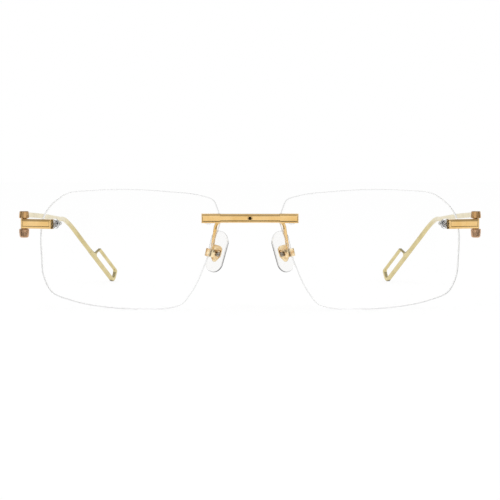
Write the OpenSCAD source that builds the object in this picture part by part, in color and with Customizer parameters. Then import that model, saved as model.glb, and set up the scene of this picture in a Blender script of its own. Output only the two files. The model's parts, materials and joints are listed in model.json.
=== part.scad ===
// Rimless eyeglasses with folding temples and rocking nose pads, in millimetres.
// They stand on the lens bottoms and the temple tips. The front faces -Y, and Z is up.
// Every piece is drawn for the wearer's left side, at +X, and mirrored for the right.

/* [Lenses] */
// Width of one lens, measured across its own face
lens_w = 56.2; // [52:0.1:60]
// Height of one lens
lens_h = 36.9; // [34:0.1:40]
// Distance from the middle of the frame to the middle of a lens
lens_x = 36.9; // [35:0.1:39]
// Radius of the lens's front surface
lens_r = 92; // [84:1:130]
// Thickness of the lens
lens_t = 2; // [1.6:0.1:2.4]
// Angle that each lens turns back towards its temple
wrap = 7.5; // [4:0.5:9]

/* [Bridge and end pieces] */
// Depth of the bars from front to back
bar_d = 2; // [1.6:0.1:2.4]
// Height of the bridge at its end blocks
bridge_h = 2.9; // [2.4:0.1:3.4]
// Height of the middle of the bridge above the table
bridge_z = 28.05; // [26:0.05:30]
// Height of an end piece's bar
endpiece_h = 3; // [2.6:0.1:3.2]
// Height of the middle of an end piece above the table
endpiece_z = 26.05; // [25:0.05:27]
// Length of an end piece's bar
endpiece_len = 10.3; // [9.8:0.1:11]
// Radius of the long front edges of the bars
bar_round = 0.85; // [0.5:0.05:1]

/* [Lens fixings] */
// Place of the bridge's stud on the lens, from the lens's middle
nasal_post = -23.9; // [-24.5:0.1:-22]
// Place of the end piece's stud on the lens, from the lens's middle
temple_post = 25.2; // [23:0.1:25.6]
// Diameter of the threaded studs
stud_d = 1.2; // [1:0.1:1.4]
// Diameter of the washers and of the sleeves' flanges
flange_d = 3.2; // [2.6:0.1:3.4]
// Thickness of the washers
washer_t = 0.35; // [0.3:0.05:0.5]
// Thickness of the sleeves' flanges
flange_t = 0.45; // [0.35:0.05:0.6]
// Width of the nuts across their flats
nut_w = 2; // [1.8:0.1:2.2]
// Height of the nuts
nut_h = 1.3; // [1:0.1:1.6]
// Length of stud beyond the nut
stud_tip = 2.2; // [0.6:0.1:2.4]

/* [Hinges] */
// Diameter of the hinge barrels
barrel_d = 3.1; // [2.6:0.05:3.3]
// Diameter of the eye between the barrels
eye_d = 2.1; // [1.9:0.05:2.3]
// Height of the upper barrel
upper_h = 2.15; // [1.9:0.05:2.6]
// Height of the lower barrel
lower_h = 2.7; // [2.2:0.05:3]
// Diameter of the hinge screw's shank
pin_d = 1.1; // [0.9:0.05:1.2]
// Distance of the hinge axis behind the end piece's bar
hinge_back = 1.05; // [1:0.05:1.3]

/* [Temples] */
// Straight run from the hinge to the bend behind the ear
arm_run = 90.5; // [84:0.5:96]
// Angle at which the arms close in towards the back
arm_in = 3.1; // [2:0.1:4]
// Height of the arm's section
arm_h = 1.6; // [1.4:0.1:1.8]
// Thickness of the arm's section
arm_t = 1.2; // [1:0.1:1.3]
// Rise of the arm's middle above a straight line
arm_bow = 0.35; // [0:0.05:1]
// Angle of the drop below level
drop_down = 31.75; // [29:0.05:34]
// Angle of the drop towards the head
drop_in = 21; // [18:0.5:23]
// Distance from the bend to the start of the loop
loop_from = 22; // [20:0.5:24]
// Distance from the bend to the end of the loop
loop_to = 46; // [45:0.5:48]
// Width of the loop's slot
slot_w = 3.2; // [2.8:0.1:3.4]
// Width of the loop's front strand
front_strand = 1.55; // [1.4:0.05:1.7]
// Angle of the loop's shoulder to the strands
shoulder = 51.5; // [48:0.5:56]
// Width of the loop's rear strand
rear_strand = 0.95; // [0.8:0.05:1.2]

/* [Nose pads] */
// Height of a pad
pad_h = 13; // [12:0.1:14]
// Width of a pad
pad_w = 6.9; // [6.2:0.1:7.4]
// Thickness of a pad at its middle
pad_t = 2.2; // [2:0.1:2.5]
// Angle between a pad and the plane that halves the face
pad_splay = 50; // [44:1:54]
// Lean of a pad's top towards the other pad
pad_tilt = 13; // [9:0.5:16]
// Diameter of the pad wires
wire_d = 1.05; // [0.9:0.05:1.2]

/* [Hidden] */
$fn = 64;

gold = [0.9, 0.74, 0.45];
pale_gold = [0.88, 0.8, 0.6];
steel = [0.7, 0.7, 0.72];
clear = [0.93, 0.95, 0.96, 0.35];

// Running clearance of pins in their bores, and of fixed pieces in their seats
running = 0.04;
seat = 0.02;

// Lens outline as percentages of its width from the middle and of its height from the bottom
lens_outline = [
    [7, 100], [-20, 98.2], [-38, 94.8], [-44.2, 91.6], [-46.8, 84.5], [-48.5, 74], [-46.2, 61],
    [-40.6, 37.7], [-32, 11.5], [-27.5, 3.8], [-19.5, 0.6], [-7, 0], [10, 0.8], [34, 6.4],
    [45.1, 12.6], [49.6, 23.6], [51.3, 45], [51.4, 66], [49.6, 78.3], [41.5, 91.8], [36, 96.5], [23, 98.9]
];
lens_steps = 6;
lens_fn = 200;
hole_d = 2;
stud_bore_d = stud_d + 2 * seat;
stud_in = 1.2;
stud_chamfer = 0.25;
stud_to = lens_t + flange_t + nut_h + stud_tip;
sphere_mid = [lens_x - lens_r * sin(wrap), lens_r * cos(wrap), lens_h / 2];

// Places on the lens's front surface, and the way that the surface faces there
function sag(u, z) = lens_r - sqrt(pow(lens_r, 2) - pow(u, 2) - pow(z - lens_h / 2, 2));
function on_lens(u, z) = [
    lens_x + u * cos(wrap) - sag(u, z) * sin(wrap),
    u * sin(wrap) + sag(u, z) * cos(wrap),
    z
];
function facing(u, z) = atan(u / (lens_r - sag(u, z))) + wrap;
function lean(z) = asin((z - lens_h / 2) / lens_r);
function turned(p, a) = [p.x * cos(a) - p.y * sin(a), p.x * sin(a) + p.y * cos(a), p.z];

nasal_drop = 0.3;
nasal_z = bridge_z - nasal_drop;
nasal_p = on_lens(nasal_post, nasal_z);
nasal_a = facing(nasal_post, nasal_z);
temple_p = on_lens(temple_post, endpiece_z);
temple_a = facing(temple_post, endpiece_z);
bar_mid_y = -washer_t - bar_d / 2;

// Bridge: two end blocks that lie along the lenses, and a straight middle
block_in = 3.5;
block_out = 2.25;
bridge_mid = nasal_p + turned([-block_in, bar_mid_y, 0], nasal_a);
bridge_back = bridge_mid.y + bar_d / 2;
bridge_mid_h = bridge_h - 0.15;
block_round = 0.7;
block_end = 0.45;
bridge_screw_d = 1.5;
bridge_screw_l = 1.5;
bridge_screw_in = 0.05;
socket_d = 1.15;
socket_t = 1;

// End piece and hinge
endpiece_in = 0.8;
endpiece_end = 0.5;
endpiece_out = endpiece_len - endpiece_in;
bar_corner = temple_p + turned([endpiece_out, -washer_t, 0], temple_a);
hinge_x = bar_corner.x + 0.15;
hinge_y = bar_corner.y + hinge_back;
hinge_gap = 0.2;
hinge_washer_t = 0.12;
eye_top = endpiece_z + endpiece_h / 2;
eye_bottom = endpiece_z - endpiece_h / 2;
upper_from = eye_top + hinge_gap;
upper_to = upper_from + upper_h;
lower_to = eye_bottom - hinge_gap;
lower_from = lower_to - lower_h;
hinge_head_d = 2;
hinge_head_h = 0.5;
screw_slot = 0.3;
pin_to = lower_from + 0.7;
barrel_taper = 0.12;
upper_round = 0.25;
lower_round = 0.6;
eye_root = 1.9;

// Temple: the drop starts where the loop's rounded end just meets the table
end_round = 2.4;
strand_half = front_strand / 2;
loop_top = strand_half + slot_w + rear_strand;
bend_z = (loop_to - end_round) * sin(drop_down) - (end_round - strand_half) * cos(drop_down) + end_round;
bend = [hinge_x - arm_run * tan(arm_in), hinge_y + arm_run, bend_z];
drop = [-sin(drop_in) * cos(drop_down), cos(drop_in) * cos(drop_down), -sin(drop_down)];
arm_root = [hinge_x, hinge_y, (upper_from + upper_to) / 2];
bend_blend = 4;
arm_places = [0.011, 0.2, 0.4, 0.6, 0.8, 1 - bend_blend / arm_run];
arm_path = [
    for (f = arm_places) arm_root + f * (bend - arm_root) + [0, 0, 4 * arm_bow * f * (1 - f)],
    for (s = [bend_blend, (bend_blend + loop_from) / 2, loop_from]) bend + s * drop
];
arm_steps = 4;
arm_round = 0.4;
tip_chamfer = 0.2;
corner_round = 1;
shoulder_round = 0.6;
shoulder_fillet = 4;
shoulder_from = loop_from + 3.6;
shoulder_to = shoulder_from + (loop_top - strand_half) / tan(shoulder);
slot_from = loop_from + 5;
slot_to = loop_to - 1.3;
slot_top = strand_half + slot_w;
slot_low = strand_half + 0.85;
slot_cut = 0.3;
slot_slant = slot_from + (slot_top - slot_low) / tan(shoulder);

// Edges of the loop and of its slot, moved by c into the metal for the chamfered faces
function loop_edge(c) = rounded([
    [loop_from, c - strand_half, 0],
    [loop_to - c, c - strand_half, end_round - c],
    [loop_to - c, loop_top - c, corner_round - c],
    [shoulder_to + c * tan(shoulder / 2), loop_top - c, shoulder_round - c],
    [shoulder_from + c * tan(shoulder / 2), strand_half - c, shoulder_fillet + c],
    [loop_from, strand_half - c, 0]
]);
function slot_edge(c) = rounded([
    [slot_from + slot_cut - c / 2, strand_half - c, 0],
    [slot_to + c, strand_half - c, 1.2 + c],
    [slot_to + c, slot_top + c, 0.7 + c],
    [slot_slant - c * tan(shoulder / 2), slot_top + c, 0.5 + c],
    [slot_from - c, slot_low + c * tan(45 - shoulder / 2), 0.4 + c],
    [slot_from - c, strand_half + slot_cut - c / 2, 0]
]);
function at_height(ring, z) = [for (p = ring) [p.x, p.y, z]];

// Nose pads, about the screw that each pad rocks on
pad_pivot = [11, 6.2, 17];
pad_face = 1.5;
pad_shift = [0.9, 0.6];
pad_cut = 0.6;
pad_crown = 20;
insert_t = 0.5;
lug_t = 1;
lug_r = 0.9;
pad_pin_d = 0.8;
box_w = 2.4;
box_h = 2.4;
box_front = 0.85;
box_floor = -1.1;
box_back = -2.5;
wire_y = -1.6;
pad_head_d = 1.5;
pad_head_h = 0.45;
function from_pad(p) =
    let (q = turned(p, 90 - pad_splay))
    pad_pivot + [
        q.x * cos(pad_tilt) - q.z * sin(pad_tilt),
        q.y,
        q.x * sin(pad_tilt) + q.z * cos(pad_tilt)
    ];
wire_end = from_pad([0, wire_y, box_h / 2]);
wire_in = from_pad([0, wire_y, box_h / 2 - 0.4]);
wire_path = [
    [7.8, bridge_back, bridge_z], [7.8, bridge_back + 1.6, bridge_z], [8.8, 4.2, 27.6], [10.2, 5, 26.3],
    [11.05, 5.2, 22.5], wire_end, wire_in
];
wire_steps = 4;
wire_sides = 12;

// The origin is under the middle of the whole frame
front_y = nasal_p.y - block_end
    + turned([block_out - block_end, block_end - washer_t - bar_d, 0], nasal_a).y;
back_y = bend.y + (loop_to * cos(drop_down) + loop_top * sin(drop_down)) * cos(drop_in);
middle_y = (front_y + back_y) / 2;

// Smooth curve through a list of points, closed or open
function slope(p, i, closed) =
    let (
        n = len(p),
        a = closed ? p[(i + n - 1) % n] : p[max(i - 1, 0)],
        c = closed ? p[(i + 1) % n] : p[min(i + 1, n - 1)],
        before = norm(p[i] - a),
        after = norm(c - p[i])
    )
    before == 0 ? (c - p[i]) / after
    : after == 0 ? (p[i] - a) / before
    : ((p[i] - a) * after / before + (c - p[i]) * before / after) / (before + after);
function between(a, ma, b, mb, t) =
    let (h = norm(b - a))
    (2 * pow(t, 3) - 3 * pow(t, 2) + 1) * a + (pow(t, 3) - 2 * pow(t, 2) + t) * h * ma
    + (3 * pow(t, 2) - 2 * pow(t, 3)) * b + (pow(t, 3) - pow(t, 2)) * h * mb;
function smooth(p, steps, closed = false) =
    let (n = len(p), last = closed ? n - 1 : n - 2)
    [
        for (i = [0:last], k = [0:steps - 1])
            between(p[i], slope(p, i, closed), p[(i + 1) % n], slope(p, (i + 1) % n, closed), k / steps),
        if (!closed) p[n - 1]
    ];

// Polygon from corners given as [x, y, radius], with each corner rounded
function unit(v) = v / norm(v);
function rounded(corners, steps = 8) = [
    for (i = [0:len(corners) - 1])
        let (
            n = len(corners),
            here = corners[i],
            p = [here.x, here.y],
            a = unit([for (k = [0, 1]) corners[(i + n - 1) % n][k]] - p),
            b = unit([for (k = [0, 1]) corners[(i + 1) % n][k]] - p),
            half = acos(a * b) / 2,
            mid = p + unit(a + b) * here[2] / sin(half),
            from = p + a * here[2] / tan(half) - mid,
            start = atan2(from.y, from.x),
            sweep = (180 - 2 * half) * (cross(-a, b) > 0 ? 1 : -1)
        )
        for (k = [0:here[2] > 0 ? steps : 0])
            here[2] > 0 ? mid + here[2] * [cos(start + sweep * k / steps), sin(start + sweep * k / steps)] : p
];

// Two triangles between one ring of m points and the next, at place j
function strip(a, b, j, m) =
    let (k = (j + 1) % m)
    [[a + j, b + j, a + k], [a + k, b + j, b + k]];

// Solid that carries a flat profile along a path, with the profile's y kept towards "up"
module sweep(path, profile, up) {
    n = len(path);
    m = len(profile);
    points = [
        for (i = [0:n - 1])
            let (
                along = unit(slope(path, i, false)),
                side = unit(cross(along, up)),
                rise = cross(side, along)
            )
            for (q = profile) path[i] + q.x * side + q.y * rise
    ];
    polyhedron(points, [
        [for (j = [0:m - 1]) j],
        [for (j = [m - 1:-1:0]) (n - 1) * m + j],
        for (i = [0:n - 2], j = [0:m - 1]) each strip(i * m, (i + 1) * m, j, m)
    ]);
}

// Solid with a hole through it, from rings of points that go once round its section
module ring_solid(rings) {
    n = len(rings);
    m = len(rings[0]);
    polyhedron(
        [for (ring = rings) each ring],
        [for (i = [0:n - 1], j = [0:m - 1]) each strip(i * m, (i + 1) % n * m, j, m)]
    );
}

module placed() {
    translate([0, -middle_y, 0]) children();
}

module other_side() {
    placed() mirror([1, 0, 0]) children();
}

module both_sides() {
    placed() children();
    other_side() children();
}

// Frames of the lens studs: X along the lens, Y back along the stud
module at_nasal_post() {
    translate(nasal_p) rotate([0, 0, nasal_a]) children();
}

module at_temple_post() {
    translate(temple_p) rotate([0, 0, temple_a]) children();
}

module at_pad() {
    translate(pad_pivot) rotate([0, -pad_tilt, 0]) rotate([0, 0, 90 - pad_splay]) children();
}

// Cylinder along Y from one place to another
module rod_y(d, from, to) {
    translate([0, from, 0]) rotate([-90, 0, 0]) cylinder(d = d, h = to - from);
}

// Cylinder along X from one place to another
module rod_x(d, from, to) {
    translate([from, 0, 0]) rotate([0, 90, 0]) cylinder(d = d, h = to - from);
}

// Flat shape in X and Z, extruded along Y from one place to another
module plate_y(from, to) {
    translate([0, to, 0]) rotate([90, 0, 0]) linear_extrude(to - from) children();
}

// Rectangle as deep as the bars and w wide, with its two front corners rounded, its back on the Y axis
module front_rounded(w, r) {
    translate([r - bar_d, -w / 2]) square([bar_d - r, w]);
    translate([-bar_d, r - w / 2]) square([bar_d, w - 2 * r]);
    for (side = [-1, 1]) translate([r - bar_d, side * (w / 2 - r)]) circle(r);
}

// Bar along X with its long front edges rounded, its back face at y
module long_bar(from, to, y, h, edge) {
    translate([from, y, 0]) rotate([90, 0, 90]) linear_extrude(to - from) front_rounded(h, edge);
}

// Bar along X whose front is rounded at its two ends as well
module end_bar(from, to, y, h, edge, end) {
    intersection() {
        long_bar(from, to, y, h, edge);
        translate([(from + to) / 2, y, -h / 2]) linear_extrude(h) rotate(90) front_rounded(to - from, end);
    }
}

// Seat of a stud in the back of its bar
module stud_seat() {
    rod_y(stud_bore_d, -washer_t - stud_in - seat, lens_t);
}

module lens_ball(r) {
    translate(sphere_mid) sphere(r, $fn = lens_fn);
}

module lens() {
    color(clear) difference() {
        intersection() {
            translate([lens_x, 0, 0]) rotate([0, 0, wrap]) plate_y(-lens_r / 4, lens_r / 4)
                polygon([
                    for (p = smooth(lens_outline, lens_steps, true)) [p.x * lens_w / 100, p.y * lens_h / 100]
                ]);
            lens_ball(lens_r);
        }
        lens_ball(lens_r - lens_t);
        at_nasal_post() rod_y(hole_d, -lens_t, 3 * lens_t);
        at_temple_post() rod_y(hole_d, -lens_t, 3 * lens_t);
    }
}

module bridge_bar() {
    half = bridge_mid.x + block_end;
    color(gold) placed() difference() {
        union() {
            for (flip = [0, 1]) mirror([flip, 0, 0]) at_nasal_post() translate([0, 0, nasal_drop])
                end_bar(-block_in, block_out, -washer_t, bridge_h, block_round, block_end);
            translate([0, 0, bridge_z]) long_bar(-half, half, bridge_back, bridge_mid_h, bar_round);
        }
        for (flip = [0, 1]) mirror([flip, 0, 0]) at_nasal_post() stud_seat();
        translate([0, bridge_back - bar_d, bridge_z]) rod_y(bridge_screw_d + 2 * seat, -1, bridge_screw_l);
    }
}

module bridge_screw() {
    color(gold) placed() translate([0, bridge_back - bar_d, bridge_z]) difference() {
        rod_y(bridge_screw_d, bridge_screw_in, bridge_screw_l);
        translate([0, socket_t, 0]) rotate([90, 0, 0]) cylinder(d = socket_d, h = 1, $fn = 6);
    }
}

module endpiece() {
    color(gold) difference() {
        union() {
            at_temple_post()
                end_bar(-endpiece_in, endpiece_out, -washer_t, endpiece_h, bar_round, endpiece_end);
            translate([hinge_x, hinge_y, eye_bottom]) cylinder(d = eye_d, h = endpiece_h);
            translate([hinge_x - eye_d / 2, hinge_y - eye_root, eye_bottom])
                cube([eye_d * 0.7, eye_root, endpiece_h]);
        }
        translate([hinge_x, hinge_y, eye_bottom - 1]) cylinder(d = pin_d + 2 * running, h = endpiece_h + 2);
        at_temple_post() stud_seat();
    }
}

// Threaded stud with a chamfered tip, set in the back of a bar
module lens_stud() {
    r = stud_d / 2;
    from = -washer_t - stud_in;
    rotate([-90, 0, 0]) rotate_extrude() polygon([
        [0, from], [r, from], [r, stud_to - stud_chamfer], [r - stud_chamfer, stud_to], [0, stud_to]
    ]);
}

module lens_studs() {
    color(steel) both_sides() {
        at_nasal_post() lens_stud();
        at_temple_post() lens_stud();
    }
}

// Block whose back or front lies along the lens at a post, a distance behind the lens's front surface
module ahead_of_lens(lean, y = 0) {
    rotate([-lean, 0, 0]) translate([-flange_d, y - 2 * flange_d, -flange_d]) cube(2 * flange_d);
}

module behind_lens(lean, y = 0) {
    rotate([-lean, 0, 0]) translate([-flange_d, y, -flange_d]) cube(2 * flange_d);
}

module lens_washer(lean) {
    difference() {
        rod_y(flange_d, -washer_t, lens_t / 2);
        rod_y(stud_bore_d, -lens_t, lens_t);
        behind_lens(lean);
    }
}

module lens_washers() {
    color(clear) both_sides() {
        at_nasal_post() lens_washer(lean(nasal_z));
        at_temple_post() lens_washer(lean(endpiece_z));
    }
}

module lens_sleeve(lean) {
    difference() {
        union() {
            rod_y(hole_d - 2 * seat, -lens_t / 2, lens_t + flange_t);
            difference() {
                rod_y(flange_d, lens_t / 2, lens_t + flange_t);
                ahead_of_lens(lean, lens_t + seat);
            }
        }
        rod_y(stud_bore_d, -lens_t, 3 * lens_t);
        ahead_of_lens(lean);
    }
}

module lens_sleeves() {
    color(clear) both_sides() {
        at_nasal_post() lens_sleeve(lean(nasal_z));
        at_temple_post() lens_sleeve(lean(endpiece_z));
    }
}

module lens_nut() {
    difference() {
        translate([0, lens_t + flange_t, 0]) rotate([-90, 0, 0])
            cylinder(d = nut_w / cos(30), h = nut_h, $fn = 6);
        rod_y(stud_bore_d, 0, 3 * lens_t);
    }
}

module lens_nuts() {
    color(steel) both_sides() {
        at_nasal_post() lens_nut();
        at_temple_post() lens_nut();
    }
}

module hinge_washer(z) {
    translate([hinge_x, hinge_y, z - hinge_washer_t / 2]) difference() {
        cylinder(d = eye_d, h = hinge_washer_t);
        translate([0, 0, -1]) cylinder(d = pin_d + 2 * running, h = 2);
    }
}

module hinge_washers() {
    color(steel) both_sides() {
        hinge_washer(eye_top + hinge_gap / 2);
        hinge_washer(eye_bottom - hinge_gap / 2);
    }
}

// Turned barrel with a chamfered foot and a slightly narrower, rounded far end
module barrel(h, end) {
    r = barrel_d / 2;
    tip = r - barrel_taper;
    rotate_extrude() polygon([
        [0, 0], [r - 0.1, 0], [r, 0.1], [r, h * 0.35],
        for (a = [0:30:90]) [tip - end * (1 - cos(a)), h - end * (1 - sin(a))],
        [0, h]
    ]);
}

module temple_knuckle() {
    color(gold) translate([hinge_x, hinge_y, upper_from]) difference() {
        barrel(upper_h, upper_round);
        translate([0, 0, -1]) cylinder(d = pin_d + 2 * seat, h = upper_h + 2);
        translate([0, 0, upper_h - hinge_head_h]) cylinder(d = hinge_head_d + 2 * seat, h = 1);
    }
}

module hinge_screw() {
    color(gold) translate([hinge_x, hinge_y, 0]) difference() {
        union() {
            translate([0, 0, pin_to]) cylinder(d = pin_d, h = upper_to - pin_to);
            translate([0, 0, upper_to - hinge_head_h]) cylinder(d = hinge_head_d, h = hinge_head_h);
        }
        translate([-hinge_head_d, -screw_slot / 2, upper_to - hinge_head_h / 2])
            cube([2 * hinge_head_d, screw_slot, 1]);
    }
}

module hinge_cap() {
    color(gold) translate([hinge_x, hinge_y, lower_to]) difference() {
        mirror([0, 0, 1]) barrel(lower_h, lower_round);
        translate([0, 0, pin_to - lower_to]) cylinder(d = pin_d + 2 * seat, h = lower_h);
    }
}

module temple_arm() {
    w = arm_t / 2;
    h = arm_h / 2;
    color(pale_gold) difference() {
        sweep(
            smooth(arm_path, arm_steps),
            rounded([[-w, -h, arm_round], [w, -h, arm_round], [w, h, arm_round], [-w, h, arm_round]], 2),
            [0, 0, 1]
        );
        translate([hinge_x, hinge_y, upper_from]) barrel(upper_h, upper_round);
    }
}

module temple_tip() {
    out = arm_t / 2;
    in = out - tip_chamfer;
    color(pale_gold) translate(bend) rotate([0, 0, 90 + drop_in]) rotate([0, drop_down, 0]) rotate([90, 0, 0])
        ring_solid([
            at_height(loop_edge(tip_chamfer), -out),
            at_height(loop_edge(0), -in),
            at_height(loop_edge(0), in),
            at_height(loop_edge(tip_chamfer), out),
            at_height(slot_edge(tip_chamfer), out),
            at_height(slot_edge(0), in),
            at_height(slot_edge(0), -in),
            at_height(slot_edge(tip_chamfer), -out)
        ]);
}

module pad_outline(inset = 0) {
    w = pad_w / 2 - inset;
    h = pad_h / 2 - inset;
    polygon(rounded([
        [pad_shift.x - w + pad_cut, pad_shift.y - h, 2.8], [pad_shift.x + w, pad_shift.y - h, 2.4],
        [pad_shift.x + w, pad_shift.y + h, 2.9], [pad_shift.x - w, pad_shift.y + h, 3.2]
    ], 12));
}

module shield(grow) {
    w = 2.1 + grow;
    translate([pad_shift.x, 0]) polygon(rounded([
        [0, -3.2 - grow, 0.9], [w, -0.6, 1.6], [w, 2.6 + grow, 1.3], [-w, 2.6 + grow, 1.3], [-w, -0.6, 1.6]
    ]));
}

module nose_pad() {
    color(clear) at_pad() difference() {
        intersection() {
            plate_y(pad_face, pad_face + pad_t) pad_outline();
            translate([pad_shift.x, pad_face + pad_t - pad_crown, pad_shift.y]) sphere(pad_crown, $fn = 128);
        }
        plate_y(pad_face - 1, pad_face + insert_t) shield(seat);
    }
}

module pad_insert() {
    color(gold) at_pad() {
        difference() {
            union() {
                plate_y(pad_face, pad_face + insert_t) shield(0);
                rod_x(2 * lug_r, -lug_t / 2, lug_t / 2);
                translate([-lug_t / 2, 0, -lug_r]) cube([lug_t, pad_face + insert_t / 2, 2 * lug_r]);
            }
            rod_x(pad_pin_d + 2 * running, -lug_t, lug_t);
        }
    }
}

module pad_box_body() {
    difference() {
        union() {
            translate([-box_w / 2, box_back, -box_h / 2]) cube([box_w, box_front - box_back, box_h]);
            translate([0, box_back, -box_h / 2]) cylinder(d = box_w, h = box_h);
        }
        translate([-lug_t / 2 - 0.1, box_floor, -box_h]) cube([lug_t + 0.2, 2 * box_h, 2 * box_h]);
        rod_x(pad_pin_d + 2 * seat, -box_w, box_w);
    }
}

module pad_box() {
    color(gold) at_pad() pad_box_body();
}

module pad_screw() {
    color(steel) at_pad() difference() {
        union() {
            rod_x(pad_pin_d, -box_w / 2 - pad_head_h / 2, box_w / 2);
            rod_x(pad_head_d, -box_w / 2 - pad_head_h, -box_w / 2);
        }
        translate([-box_w / 2 - pad_head_h - 1, -pad_head_d, -screw_slot / 2])
            cube([1 + pad_head_h / 2, 2 * pad_head_d, screw_slot]);
    }
}

module pad_arm() {
    color(gold) difference() {
        sweep(
            smooth(wire_path, wire_steps),
            [for (a = [0:360 / wire_sides:359]) wire_d / 2 * [cos(a), sin(a)]],
            [1, 0, 0]
        );
        at_pad() translate([-box_w, box_back - box_w, -box_h]) cube([2 * box_w, 2 * box_w, 1.5 * box_h]);
    }
}

other_side() lens();  // lens_right
placed() lens();  // lens_left
bridge_bar();
bridge_screw();
other_side() endpiece();  // endpiece_right
placed() endpiece();  // endpiece_left
lens_studs();
lens_washers();
lens_sleeves();
lens_nuts();
hinge_washers();
other_side() pad_arm();  // pad_arm_right
placed() pad_arm();  // pad_arm_left
other_side() pad_box();  // pad_box_right
placed() pad_box();  // pad_box_left
other_side() pad_screw();  // pad_screw_right
placed() pad_screw();  // pad_screw_left
other_side() nose_pad();  // nose_pad_right
placed() nose_pad();  // nose_pad_left
other_side() pad_insert();  // pad_insert_right
placed() pad_insert();  // pad_insert_left
other_side() temple_knuckle();  // temple_knuckle_right
placed() temple_knuckle();  // temple_knuckle_left
other_side() temple_arm();  // temple_arm_right
placed() temple_arm();  // temple_arm_left
other_side() temple_tip();  // temple_tip_right
placed() temple_tip();  // temple_tip_left
other_side() hinge_screw();  // hinge_screw_right
placed() hinge_screw();  // hinge_screw_left
other_side() hinge_cap();  // hinge_cap_right
placed() hinge_cap();  // hinge_cap_left
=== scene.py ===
"""Looks of the rimless eyeglasses: finishes, soft nose pads, threaded studs, studio and camera."""

import json
import math

import bmesh
import bpy
import numpy as np
from mathutils import Matrix, Vector


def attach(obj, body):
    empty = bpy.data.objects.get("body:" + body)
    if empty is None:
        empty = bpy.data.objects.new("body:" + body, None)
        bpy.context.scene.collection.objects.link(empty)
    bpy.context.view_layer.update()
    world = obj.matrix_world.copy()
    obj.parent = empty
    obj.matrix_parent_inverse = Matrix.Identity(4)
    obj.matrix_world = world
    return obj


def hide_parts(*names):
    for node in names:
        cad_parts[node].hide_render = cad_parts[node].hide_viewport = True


MM = 0.001
SIDES = {"left": 1, "right": -1}

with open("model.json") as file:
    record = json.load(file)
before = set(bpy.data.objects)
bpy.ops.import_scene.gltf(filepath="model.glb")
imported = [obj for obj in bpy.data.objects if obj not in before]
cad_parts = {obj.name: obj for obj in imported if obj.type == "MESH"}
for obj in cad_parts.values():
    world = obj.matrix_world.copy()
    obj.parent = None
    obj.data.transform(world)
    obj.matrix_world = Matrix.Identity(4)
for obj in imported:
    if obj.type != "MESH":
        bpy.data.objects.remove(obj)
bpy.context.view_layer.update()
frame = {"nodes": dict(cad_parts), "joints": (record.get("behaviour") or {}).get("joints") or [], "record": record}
nodes = frame["nodes"]
joints = {joint["name"]: joint for joint in frame["joints"]}

# Photograph: the lenses' plane is seen from 600 mm, and the horizon is above the picture's middle
IMAGE_SIZE = 500
SENSOR = 36.0
VIEW_DISTANCE = 600 * MM
PIXEL = 0.3056 * MM
HORIZON_ROW = 156.5
TABLE_ROW = 310.0
PAD_BEHIND_LENS = 6.2 * MM
LENS_PLANE_Y = joints["nose_pad_left_rock"]["pos_m"][1] - PAD_BEHIND_LENS


def add_object(name, data):
    """New object in the scene."""
    thing = bpy.data.objects.new(name, data)
    bpy.context.scene.collection.objects.link(thing)
    return thing


# Colours

def linear(red, green, blue):
    """Linear colour from the 0 to 255 values that the eye reads in a picture."""
    def channel(value):
        value = value / 255
        return value / 12.92 if value <= 0.04045 else ((value + 0.055) / 1.055) ** 2.4
    return (channel(red), channel(green), channel(blue), 1.0)


def grey(value):
    """Colour of equal parts."""
    return (value, value, value, 1.0)


WHITE = grey(1.0)

# Shader helpers

EVEN = (1, 1, 1)
BEVEL_SAMPLES = 6
RELIEF_STRENGTH = 0.35
RELIEF_DEPTH = 0.004 * MM


def new_material(name):
    """Material with its node tree and its Principled shader."""
    material = bpy.data.materials.new(name)
    material.use_nodes = True
    tree = material.node_tree
    return material, tree, tree.nodes["Principled BSDF"]


def bare_material(name):
    """Material with an empty node tree."""
    material, tree, _ = new_material(name)
    tree.nodes.clear()
    return material, tree


def add_node(tree, kind, inputs=None, **settings):
    """One node, with settings as attributes and inputs as values or as sockets to link from."""
    node = tree.nodes.new(kind)
    for key, value in settings.items():
        setattr(node, key, value)
    for key, value in (inputs or {}).items():
        if isinstance(value, bpy.types.NodeSocket):
            tree.links.new(value, node.inputs[key])
        else:
            node.inputs[key].default_value = value
    return node


def calculate(tree, operation, *values, **settings):
    """Result of one operation on numbers."""
    inputs = dict(enumerate(values))
    return add_node(tree, "ShaderNodeMath", inputs, operation=operation, **settings).outputs["Value"]


def dot_product(tree, first, second):
    """How far two directions agree, 1 where they are the same."""
    inputs = {0: first, 1: second}
    return add_node(tree, "ShaderNodeVectorMath", inputs, operation="DOT_PRODUCT").outputs["Value"]


def fade(tree, value, start, end):
    """Number from 0, where the value is start, to 1, where it is end."""
    inputs = {"Value": value, "From Min": start, "From Max": end}
    return add_node(tree, "ShaderNodeMapRange", inputs).outputs["Result"]


def spread(tree, factor, low, high):
    """Number between low and high, driven by a factor from 0 to 1."""
    inputs = {"Value": factor, "To Min": low, "To Max": high}
    return add_node(tree, "ShaderNodeMapRange", inputs).outputs["Result"]


def brightest(tree, first, *others):
    """Largest of several values."""
    for other in others:
        first = calculate(tree, "MAXIMUM", first, other)
    return first


def blend(tree, first, second, share=1.0, way="MIX"):
    """One colour from two."""
    inputs = {"Fac": share, "Color1": first, "Color2": second}
    return add_node(tree, "ShaderNodeMixRGB", inputs, blend_type=way).outputs["Color"]


def ramp(tree, factor, stops):
    """Colour ramp from a list of (position, colour)."""
    node = add_node(tree, "ShaderNodeValToRGB", {"Fac": factor})
    elements = node.color_ramp.elements
    while len(elements) < len(stops):
        elements.new(0.5)
    for element, (position, colour) in zip(elements, stops):
        element.position = position
        element.color = colour
    return node.outputs["Color"]


def grey_ramp(tree, factor, *stops):
    """Ramp of greys from pairs of (position, tone)."""
    return ramp(tree, factor, [(position, grey(tone)) for position, tone in stops])


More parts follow.
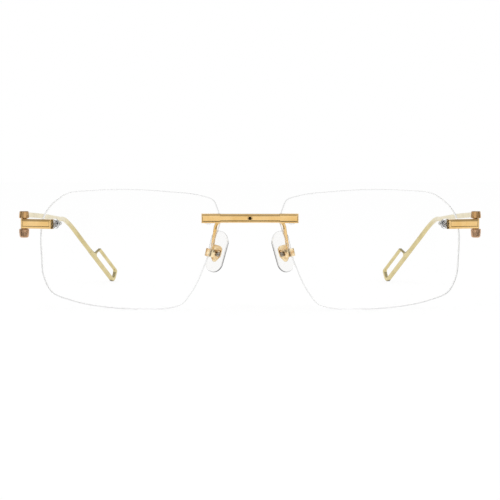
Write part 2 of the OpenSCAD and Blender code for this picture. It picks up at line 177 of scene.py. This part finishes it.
def noise(tree, scale, detail, stretch=EVEN):
    """Noise over the object's own metres, drawn out along an axis by stretch."""
    place = add_node(tree, "ShaderNodeTexCoord").outputs["Object"]
    mapping = add_node(tree, "ShaderNodeMapping", {"Vector": place, "Scale": stretch})
    inputs = {"Vector": mapping.outputs["Vector"], "Scale": scale, "Detail": detail}
    return add_node(tree, "ShaderNodeTexNoise", inputs).outputs["Fac"]


def rounded_normal(tree, radius, height):
    """Normal with edges rounded off by radius, and a fine relief that follows height."""
    bevel = add_node(tree, "ShaderNodeBevel", {"Radius": radius}, samples=BEVEL_SAMPLES)
    inputs = {
        "Height": height,
        "Strength": RELIEF_STRENGTH,
        "Distance": RELIEF_DEPTH,
        "Normal": bevel.outputs["Normal"],
    }
    return add_node(tree, "ShaderNodeBump", inputs).outputs["Normal"]


# Metals

# Polishing lines run along the axis that is scaled down
ALONG_X = (0.08, 1, 1)
ALONG_Y = (1, 0.06, 1)
ALONG_Z = (1, 1, 0.08)
LINE_SCALE = 5200
LINE_DETAIL = 2
CLOUD_SCALE = 260
PAD_GLINT_SCALE = 600
CLOUD_DETAIL = 4
DEEP_AT = 0.3
BRIGHT_AT = 0.62

# Edge radius of each kind of piece
BAR_EDGE = 0.12 * MM
FASTENER_EDGE = 0.08 * MM
PAD_EDGE = 0.35 * MM

# Painted shade: how far a place looks for what closes it in, to darken its colour there; small on open pieces and
# on those set in clear plastic
SHADE_REACH = 0.9 * MM
END_SHADE_REACH = 0.3 * MM
OPEN_SHADE_REACH = 0.04 * MM
SLEEVE_SHADE_REACH = 0.005 * MM
SOCKET_SHADE_REACH = 2.5 * MM
SHADE_CLOSED = 0.15
SOCKET_SHADE_CLOSED = 0.38
SHADE_STEPS = ((0, 0.03), (0.4, 0.7), (0.6, 1.0))
SHADE_SAMPLES = 8


def painted_recess_shade(tree, reach, closed):
    """Painted shade: tone of a place, from dark where it is as closed in as said, to white on an open face."""
    inputs = {"Distance": reach}
    shade = add_node(tree, "ShaderNodeAmbientOcclusion", inputs, samples=SHADE_SAMPLES)
    stops = [(closed + step, tone) for step, tone in SHADE_STEPS]
    return grey_ramp(tree, shade.outputs["AO"], *stops)


def plated_metal(
    name, tones, roughness, lines=EVEN, edge=BAR_EDGE, reach=SHADE_REACH, closed=SHADE_CLOSED,
    cloud_scale=CLOUD_SCALE,
):
    """Plated metal with polishing lines, slight tone changes, softened edges and painted shade in its hollows."""
    bright, deep = tones
    material, tree, shader = new_material(name)
    cloud = noise(tree, cloud_scale, CLOUD_DETAIL)
    polish = noise(tree, LINE_SCALE, LINE_DETAIL, lines)
    plating = ramp(tree, cloud, [(DEEP_AT, deep), (BRIGHT_AT, bright)])
    # The plating's colour is multiplied by the painted shade of hollows and gaps
    tone = blend(tree, plating, painted_recess_shade(tree, reach, closed), way="MULTIPLY")
    shader.inputs["Metallic"].default_value = 1.0
    tree.links.new(tone, shader.inputs["Base Color"])
    tree.links.new(spread(tree, polish, *roughness), shader.inputs["Roughness"])
    tree.links.new(rounded_normal(tree, edge, polish), shader.inputs["Normal"])
    return material


GOLD_TONES = (linear(245, 207, 144), linear(234, 192, 122))
BARREL_TONES = (linear(214, 173, 120), linear(198, 154, 102))
CAP_TONES = (linear(224, 184, 148), linear(206, 164, 128))
PALE_TONES = (linear(224, 208, 157), linear(207, 191, 138))
PAD_GLINT_TONES = (linear(255, 234, 192), linear(214, 166, 106))
STEEL_TONES = (linear(220, 219, 216), linear(182, 181, 178))
# Darker steel of the pad screws: painted shade for the dark gaps round their heads
SHADED_STEEL_TONES = (linear(186, 176, 162), linear(150, 138, 120))
GOLD_POLISH = (0.10, 0.24)
END_POLISH = (0.08, 0.18)
BARREL_POLISH = (0.07, 0.16)
CAP_POLISH = (0.28, 0.4)
PALE_POLISH = (0.12, 0.26)
PAD_POLISH = (0.05, 0.12)
STEEL_POLISH = (0.14, 0.3)
SHADED_STEEL_POLISH = (0.16, 0.3)

GOLD = plated_metal("gold", GOLD_TONES, GOLD_POLISH, ALONG_X)
OPEN_GOLD = plated_metal("open_gold", GOLD_TONES, GOLD_POLISH, ALONG_Z, reach=OPEN_SHADE_REACH)
END_GOLD = plated_metal("end_gold", GOLD_TONES, END_POLISH, ALONG_X, reach=END_SHADE_REACH)
BARREL_GOLD = plated_metal("barrel_gold", BARREL_TONES, BARREL_POLISH, ALONG_Z, reach=OPEN_SHADE_REACH)
CAP_GOLD = plated_metal("cap_gold", CAP_TONES, CAP_POLISH, ALONG_Z, reach=OPEN_SHADE_REACH)
# Bridge screw: painted shade with a wide reach, which darkens its socket nearly to black
SOCKET_SHADED_GOLD = plated_metal(
    "socket_shaded_gold", GOLD_TONES, GOLD_POLISH, reach=SOCKET_SHADE_REACH, closed=SOCKET_SHADE_CLOSED
)
PALE_GOLD = plated_metal("pale_gold", PALE_TONES, PALE_POLISH, ALONG_Y)
# Pad gold: strong random light and dark patches, a plating tone change made strong to paint glints and dark
# reflections
PAD_GOLD = plated_metal(
    "pad_gold", PAD_GLINT_TONES, PAD_POLISH, edge=PAD_EDGE, reach=OPEN_SHADE_REACH, cloud_scale=PAD_GLINT_SCALE
)
STEEL = plated_metal("steel", STEEL_TONES, STEEL_POLISH, edge=FASTENER_EDGE)
STUD_STEEL = plated_metal(
    "stud_steel", STEEL_TONES, STEEL_POLISH, edge=FASTENER_EDGE, reach=SLEEVE_SHADE_REACH
)
SHADED_STEEL = plated_metal("shaded_steel", SHADED_STEEL_TONES, SHADED_STEEL_POLISH, edge=FASTENER_EDGE)

# Clear pieces

RIPPLE_SCALE = 700
RIPPLE_DETAIL = 3
MOULDED_EDGE = 0.1 * MM
PLASTIC_TINT = (0.97, 0.975, 0.98, 1.0)
PLASTIC_POLISH = (0.05, 0.14)
PLASTIC_IOR = 1.46
SILICONE_TINT = (0.96, 0.955, 0.945, 1.0)
SILICONE_SHADE = grey(0.04)
SILICONE_POLISH = (0.1, 0.2)
SILICONE_IOR = 1.16

# The pads' shaded side is below and towards the nose, and their rim darkens between these shares
SHADED_ACROSS = -0.36
SHADED_UP = -0.93
SHADED_SPAN = (0.15, 0.8)
SLANT_BLEND = 0.4
RIM_LIGHT_AT = 0.02
RIM_DARK_AT = 0.25


def moulded(name, roughness, ior):
    """Clear moulded material with a faint unevenness in its surface."""
    material, tree, shader = new_material(name)
    ripple = noise(tree, RIPPLE_SCALE, RIPPLE_DETAIL)
    shader.inputs["Transmission Weight"].default_value = 1.0
    shader.inputs["IOR"].default_value = ior
    tree.links.new(spread(tree, ripple, *roughness), shader.inputs["Roughness"])
    tree.links.new(rounded_normal(tree, MOULDED_EDGE, ripple), shader.inputs["Normal"])
    return material, tree, shader


def clear_plastic(name):
    """Clear plastic of the washers and sleeves."""
    material, _, shader = moulded(name, PLASTIC_POLISH, PLASTIC_IOR)
    shader.inputs["Base Color"].default_value = PLASTIC_TINT
    return material


def silicone(name, shaded):
    """Clear silicone, whose rim is darker on the shaded side, where less light comes in."""
    material, tree, shader = moulded(name, SILICONE_POLISH, SILICONE_IOR)
    slant = add_node(tree, "ShaderNodeLayerWeight", {"Blend": SLANT_BLEND}).outputs["Facing"]
    normal = add_node(tree, "ShaderNodeNewGeometry").outputs["Normal"]
    under = fade(tree, dot_product(tree, normal, shaded), *SHADED_SPAN)
    rim = calculate(tree, "MULTIPLY", slant, under)
    tone = ramp(tree, rim, [(RIM_LIGHT_AT, SILICONE_TINT), (RIM_DARK_AT, SILICONE_SHADE)])
    tree.links.new(tone, shader.inputs["Base Color"])
    return material


CLEAR_PLASTIC = clear_plastic("clear_plastic")
SILICONE = {
    side: silicone(f"clear_silicone_{side}", (SHADED_ACROSS * sign, 0, SHADED_UP))
    for side, sign in SIDES.items()
}

# Lenses: their coating takes away nearly all reflection, as this low index does
COATED_IOR = 1.12
LENS_WRAP = math.radians(7.5)
LENS_BEVEL = 0.8 * MM
LENS_BEVEL_SAMPLES = 16

# Cosines over which a face passes into the ground edge, and over which the edge's bevel shows
EDGE_SPAN = (0.75, 0.55)
RIM_SPAN = (0.995, 0.9)
EDGE_TONE = 0.68
RIM_TONE = 0.84
GRIND_SCALE = 2600
GRIND_DETAIL = 2
GRIND_ROUGHNESS = (0.84, 0.9)


def lens_plastic(name, axis):
    """Clear lens: polished coated faces, and a satin ground edge with a narrow bevel on both sides."""
    material, tree, shader = new_material(name)
    normal = add_node(tree, "ShaderNodeNewGeometry").outputs["True Normal"]
    face = calculate(tree, "ABSOLUTE", dot_product(tree, normal, axis))
    edge = fade(tree, face, *EDGE_SPAN)
    bevel = add_node(tree, "ShaderNodeBevel", {"Radius": LENS_BEVEL}, samples=LENS_BEVEL_SAMPLES)
    rim = fade(tree, dot_product(tree, normal, bevel.outputs["Normal"]), *RIM_SPAN)
    grind = spread(tree, noise(tree, GRIND_SCALE, GRIND_DETAIL), *GRIND_ROUGHNESS)
    satin = calculate(tree, "MULTIPLY", brightest(tree, edge, rim), grind)
    rim_tone = grey_ramp(tree, rim, (0, 1), (1, RIM_TONE))
    edge_tone = grey_ramp(tree, edge, (0, 1), (1, EDGE_TONE))
    shader.inputs["IOR"].default_value = COATED_IOR
    shader.inputs["Transmission Weight"].default_value = 1.0
    tree.links.new(satin, shader.inputs["Roughness"])
    tree.links.new(blend(tree, rim_tone, edge_tone, way="DARKEN"), shader.inputs["Base Color"])
    return material


# Finishes of the frame's nodes

SLOT_MATERIALS = {
    "gold": GOLD,
    "pale_gold": PALE_GOLD,
    "steel": STEEL,
    "clear_plastic": CLEAR_PLASTIC,
}
SIDE_MATERIALS = {
    "pad_insert": PAD_GOLD,
    "pad_box": PAD_GOLD,
    "pad_screw": SHADED_STEEL,
    "temple_knuckle": BARREL_GOLD,
    "hinge_cap": CAP_GOLD,
    "endpiece": END_GOLD,
}


def dress(node, material):
    """Gives a node of the frame its finish."""
    mesh = nodes[node].data
    mesh.materials.clear()
    mesh.materials.append(material)


for part in frame["record"]["subparts"]:
    if part["material_slot"] in SLOT_MATERIALS:
        dress(part["node"], SLOT_MATERIALS[part["material_slot"]])
for side, sign in SIDES.items():
    for piece, material in SIDE_MATERIALS.items():
        dress(f"{piece}_{side}", material)
    lens_axis = (sign * math.sin(LENS_WRAP), -math.cos(LENS_WRAP), 0)
    dress(f"lens_{side}", lens_plastic(f"lens_{side}", lens_axis))
    nodes[f"lens_{side}"].visible_shadow = False
dress("bridge_screw", SOCKET_SHADED_GOLD)
dress("hinge_washers", OPEN_GOLD)

# Nose pads

PAD_SPLAY = math.radians(50)
PAD_TILT = math.radians(13)
PAD_SIZE = (6.9 * MM, 13 * MM)
PAD_MIDDLE = (0.9 * MM, 0.6 * MM)
PAD_FACE = 1.42 * MM
PAD_THICKNESS = 2.2 * MM
PAD_CROWN = 20 * MM
PAD_CUT = 0.6 * MM
PAD_ROUNDS = (2.8 * MM, 3.0 * MM, 2.9 * MM, 3.2 * MM)
PAD_RIM = 0.6 * MM
RIM_SHARE = 0.45
RIM_STEPS = 7
CORNER_STEPS = 12
PAD_RINGS = (2.2 * MM, 1.6 * MM, 1.1 * MM)


def pad_frame(side):
    """Place of a pad at its screw: X across it from front to back, Y towards the nose, Z up."""
    pivot = Vector(joints[f"nose_pad_{side}_rock"]["pos_m"])
    left = Matrix.Rotation(-PAD_TILT, 4, "Y") @ Matrix.Rotation(math.pi / 2 - PAD_SPLAY, 4, "Z")
    mirror = Matrix.Diagonal((SIDES[side], 1, 1, 1))
    return Matrix.Translation(pivot) @ mirror @ left


def rounded(corners, radii):
    """Closed outline with each corner rounded by an arc."""
    points = []
    for k, (corner, radius) in enumerate(zip(corners, radii)):
        to_last = (corners[k - 1] - corner).normalized()
        to_next = (corners[(k + 1) % len(corners)] - corner).normalized()
        half = to_last.angle(to_next) / 2
        middle = corner + (to_last + to_next).normalized() * radius / math.sin(half)
        start = corner + to_last * radius / math.tan(half) - middle
        turn = math.pi - 2 * half
        for step in range(CORNER_STEPS + 1):
            points.append(middle + Matrix.Rotation(turn * step / CORNER_STEPS, 2) @ start)
    return points


def pad_outline(inset):
    """Outline of the pad, drawn in by inset, as points in the pad's X and Z."""
    half_w = PAD_SIZE[0] / 2 - inset
    half_h = PAD_SIZE[1] / 2 - inset
    places = ((PAD_CUT - half_w, -half_h), (half_w, -half_h), (half_w, half_h), (-half_w, half_h))
    corners = [Vector(PAD_MIDDLE) + Vector(place) for place in places]
    return rounded(corners, [max(radius - inset, PAD_RIM) for radius in PAD_ROUNDS])


def crown(point):
    """Height of the pad's nose side above its flat side."""
    across = (point - Vector(PAD_MIDDLE)).length
    return PAD_THICKNESS - PAD_CROWN + math.sqrt(PAD_CROWN ** 2 - across ** 2)


def pad_rings():
    """Rings of points from the flat side's middle, round the rolled rim, to the nose side's middle."""
    rims = [min(PAD_RIM, RIM_SHARE * crown(point)) for point in pad_outline(0)]
    angles = [math.pi / 2 * step / RIM_STEPS for step in range(RIM_STEPS + 1)]
    roll = [(PAD_RIM * (1 - math.sin(angle)), 1 - math.cos(angle)) for angle in angles]
    steps = [(inset, 0) for inset in PAD_RINGS] + roll
    for inset, share in steps:
        outline = zip(pad_outline(inset), rims)
        yield [(p.x, PAD_FACE + rim * share, p.y) for p, rim in outline]
    for inset, share in reversed(steps):
        outline = zip(pad_outline(inset), rims)
        yield [(p.x, PAD_FACE + crown(p) - rim * share, p.y) for p, rim in outline]


def skinned(name, rings, place):
    """Closed smooth mesh over rings of points, each end closed by a fan round its middle."""
    bm = bmesh.new()
    loops = [[bm.verts.new(place @ Vector(point)) for point in ring] for ring in rings]
    count = len(loops[0])
    for low, high in zip(loops, loops[1:]):
        for k in range(count):
            n = (k + 1) % count
            bm.faces.new((low[k], low[n], high[n], high[k]))
    for loop in (loops[0], loops[-1]):
        middle = bm.verts.new(sum((v.co for v in loop), Vector()) / count)
        for k in range(count):
            bm.faces.new((loop[k], loop[(k + 1) % count], middle))
    bmesh.ops.recalc_face_normals(bm, faces=bm.faces)
    mesh = bpy.data.meshes.new(name)
    bm.to_mesh(mesh)
    bm.free()
    mesh.polygons.foreach_set("use_smooth", [True] * len(mesh.polygons))
    return mesh


for side in SIDES:
    pad_mesh = skinned(f"soft_pad_{side}", pad_rings(), pad_frame(side))
    pad_mesh.materials.append(SILICONE[side])
    pad = add_object(f"soft_pad_{side}", pad_mesh)
    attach(pad, f"pad_{side}")
    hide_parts(f"nose_pad_{side}")

# Threaded studs

STUD_RADIUS = 0.6 * MM
STUD_CHAMFER = 0.25 * MM
THREAD_PITCH = 0.25 * MM
THREAD_DEPTH = 0.13 * MM
THREAD_RINGS = 6
THREAD_SIDES = 20


def stud_axes():
    """Ends of each plain stud in the frame, first of the outer two and then of the inner two."""
    points = np.array([v.co for v in nodes["lens_studs"].data.vertices])
    across = np.abs(points[:, 0])
    between = (across.min() + across.max()) / 2
    for outer in (True, False):
        for sign in SIDES.values():
            own = points[((across > between) == outer) & (points[:, 0] * sign > 0)]
            middle = own.mean(0)
            along = np.linalg.svd(own - middle)[2][0]
            along = along if along[1] > 0 else -along
            reach = (own - middle) @ along
            yield Vector(middle + along * reach.min()), Vector(middle + along * reach.max())


def thread_rings(length):
    """Rings of points along Z whose radius follows a helical thread, with a chamfered tip."""
    count = round(length / THREAD_PITCH * THREAD_RINGS)
    for ring in range(count + 1):
        z = length * ring / count
        crest = STUD_RADIUS - max(0, z - (length - STUD_CHAMFER))
        points = []
        for side in range(THREAD_SIDES):
            turn = side / THREAD_SIDES
            groove = abs((z / THREAD_PITCH - turn) % 1 - 0.5) * 2
            radius = min(crest, STUD_RADIUS - THREAD_DEPTH * groove)
            angle = 2 * math.pi * turn
            points.append((radius * math.cos(angle), radius * math.sin(angle), z))
        yield points


def studs_mesh():
    """One mesh of the four studs."""
    bm = bmesh.new()
    for start, end in stud_axes():
        axis = end - start
        place = Matrix.Translation(start) @ axis.to_track_quat("Z", "Y").to_matrix().to_4x4()
        stud = skinned("stud", thread_rings(axis.length), place)
        bm.from_mesh(stud)
        bpy.data.meshes.remove(stud)
    mesh = bpy.data.meshes.new("threaded_studs")
    bm.to_mesh(mesh)
    bm.free()
    mesh.materials.append(STUD_STEEL)
    return mesh


studs = add_object("threaded_studs", studs_mesh())
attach(studs, "front")
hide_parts("lens_studs")

# Studio

FLOOR_SIZE = 6.0
FLOOR_GLOW = 0.85
FLOOR_TONE = grey(0.95)

# Dark strip on the floor, by its distances in front of the lenses, with soft edges
STRIP_FROM = 0.019
STRIP_TO = 0.1
STRIP_TONE = 0.06
STRIP_SPAN = 2 * STRIP_TO
NEAR_BLUR = 0.004
FAR_BLUR = 0.01

# Tones of the room that polished metal reflects, by the height of the direction
ROOM_TONES = ((0.26, 1.0), (0.34, 0.42), (0.9, 0.42), (0.98, 0.8))

# Cards at both sides: ends as distances from the middle and behind the lenses, then low and high edge
GREY_CARD = 0.1
BLACK_CARD = 0.01
LOW_CARD = (0.012, 0.042)
TALL_CARD = (0.0, 0.07)
CARDS = (
    ("front_card", (0.0816, -0.0405), (0.0975, -0.0315), LOW_CARD),
    ("far_card", (0.1, -0.073), (0.1, -0.036), LOW_CARD),
    ("side_card", (0.09, -0.003), (0.09, 0.012), LOW_CARD),
    ("back_card", (0.15, 0.13), (0.15, 0.26), TALL_CARD),
)
FIRST_BOUNCE_OVER = 0.5

KEY_PLACE = Vector((-0.3, -0.5, 0.9))
KEY_TARGET = Vector((0, 0, 0.02))
KEY_SIZE = (0.6, 0.5)
KEY_POWER = 1.5
CLIP_START = 0.01


def mirrored(tree):
    """1 for what a polished surface reflects, and 0 for the rest, also seen through a clear piece."""
    path = add_node(tree, "ShaderNodeLightPath").outputs
    reflected = path["Is Glossy Ray"]
    return calculate(tree, "SUBTRACT", reflected, path["Is Transmission Ray"], use_clamp=True)


def mirrored_through(tree):
    """1 for what a polished surface reflects, also with a lens in between, and 0 for the rest."""
    depth = add_node(tree, "ShaderNodeLightPath").outputs["Glossy Depth"]
    return calculate(tree, "GREATER_THAN", depth, FIRST_BOUNCE_OVER)


def floor_material():
    """White floor that keeps a soft shadow. Reflections in polished metal show a dark strip on it."""
    material, tree = bare_material("floor")
    path = add_node(tree, "ShaderNodeLightPath").outputs
    seen = brightest(tree, path["Is Camera Ray"], path["Is Glossy Ray"], path["Is Transmission Ray"])
    share = calculate(tree, "MULTIPLY", seen, FLOOR_GLOW)
    place = add_node(tree, "ShaderNodeNewGeometry").outputs["Position"]
    depth = add_node(tree, "ShaderNodeSeparateXYZ", {"Vector": place}).outputs["Y"]
    ahead = fade(tree, depth, LENS_PLANE_Y - STRIP_SPAN, LENS_PLANE_Y)
    far = 1 - STRIP_TO / STRIP_SPAN
    near = 1 - STRIP_FROM / STRIP_SPAN
    strip = grey_ramp(
        tree, ahead,
        (far - FAR_BLUR / STRIP_SPAN, 1), (far, STRIP_TONE),
        (near, STRIP_TONE), (near + NEAR_BLUR / STRIP_SPAN, 1),
    )
    tone = blend(tree, WHITE, strip, mirrored(tree))
    matt = add_node(tree, "ShaderNodeBsdfDiffuse", {"Color": FLOOR_TONE}).outputs["BSDF"]
    glow = add_node(tree, "ShaderNodeEmission", {"Color": tone}).outputs["Emission"]
    surface = add_node(tree, "ShaderNodeMixShader", {0: share, 1: matt, 2: glow}).outputs["Shader"]
    add_node(tree, "ShaderNodeOutputMaterial", {"Surface": surface})
    return material


def add_floor():
    """Floor under the eyeglasses."""
    half = FLOOR_SIZE / 2
    corners = [(-half, -half, 0), (half, -half, 0), (half, half, 0), (-half, half, 0)]
    mesh = bpy.data.meshes.new("floor")
    mesh.from_pydata(corners, [], [(0, 1, 2, 3)])
    mesh.materials.append(floor_material())
    floor = add_object("floor", mesh)


def set_world():
    """White backdrop and even light, with a darker band above that polished metal reflects."""
    world = bpy.data.worlds.new("studio")
    bpy.context.scene.world = world
    world.use_nodes = True
    tree = world.node_tree
    tree.nodes.clear()
    direction = add_node(tree, "ShaderNodeTexCoord").outputs["Generated"]
    height = add_node(tree, "ShaderNodeSeparateXYZ", {"Vector": direction}).outputs["Z"]
    tone = blend(tree, WHITE, grey_ramp(tree, height, *ROOM_TONES), mirrored(tree))
    background = add_node(tree, "ShaderNodeBackground", {"Color": tone}).outputs["Background"]
    add_node(tree, "ShaderNodeOutputWorld", {"Surface": background})


def card_material(name, shown, tone):
    """Matt tone that only the reflections in polished surfaces show."""
    material, tree = bare_material(name)
    clear = add_node(tree, "ShaderNodeBsdfTransparent").outputs["BSDF"]
    matt = add_node(tree, "ShaderNodeEmission", {"Color": grey(tone)}).outputs["Emission"]
    inputs = {0: shown(tree), 1: clear, 2: matt}
    surface = add_node(tree, "ShaderNodeMixShader", inputs).outputs["Shader"]
    add_node(tree, "ShaderNodeOutputMaterial", {"Surface": surface})
    return material


def add_cards():
    """Cards that give polished metal its dark lines. The back card also shows through the lenses."""
    plain = card_material("grey_card", mirrored, GREY_CARD)
    through = card_material("black_card", mirrored_through, BLACK_CARD)
    for side, sign in SIDES.items():
        for name, start, end, (low, high) in CARDS:
            foot = [(sign * x, LENS_PLANE_Y + y, low) for x, y in (start, end)]
            top = [(x, y, high) for x, y, z in reversed(foot)]
            mesh = bpy.data.meshes.new(f"{name}_{side}")
            mesh.from_pydata(foot + top, [], [(0, 1, 2, 3)])
            mesh.materials.append(through if name == "back_card" else plain)
            card = add_object(f"{name}_{side}", mesh)
            card.visible_shadow = False


def add_key_lamp():
    """Soft lamp from above, for the shadow on the floor."""
    light = bpy.data.lights.new("key", "AREA")
    light.shape = "RECTANGLE"
    light.size, light.size_y = KEY_SIZE
    light.energy = KEY_POWER
    lamp = add_object("key", light)
    lamp.location = KEY_PLACE
    lamp.rotation_euler = (KEY_TARGET - KEY_PLACE).to_track_quat("-Z", "Y").to_euler()
    lamp.visible_glossy = False


def add_camera():
    """Camera at the photograph's place, its height and pitch from the rows of table and horizon."""
    focal_pixels = VIEW_DISTANCE / PIXEL
    pitch = math.atan((IMAGE_SIZE / 2 - HORIZON_ROW) / focal_pixels)
    data = bpy.data.cameras.new("camera")
    data.sensor_width = SENSOR
    data.lens = focal_pixels * SENSOR / IMAGE_SIZE
    data.clip_start = CLIP_START
    camera = add_object("camera", data)
    camera.location = (0, LENS_PLANE_Y - VIEW_DISTANCE, (TABLE_ROW - HORIZON_ROW) * PIXEL)
    camera.rotation_euler = (math.pi / 2 - pitch, 0, 0)
    bpy.context.scene.camera = camera


add_floor()
add_cards()
set_world()
add_key_lamp()
add_camera()
bpy.context.scene.view_settings.view_transform = "Standard"
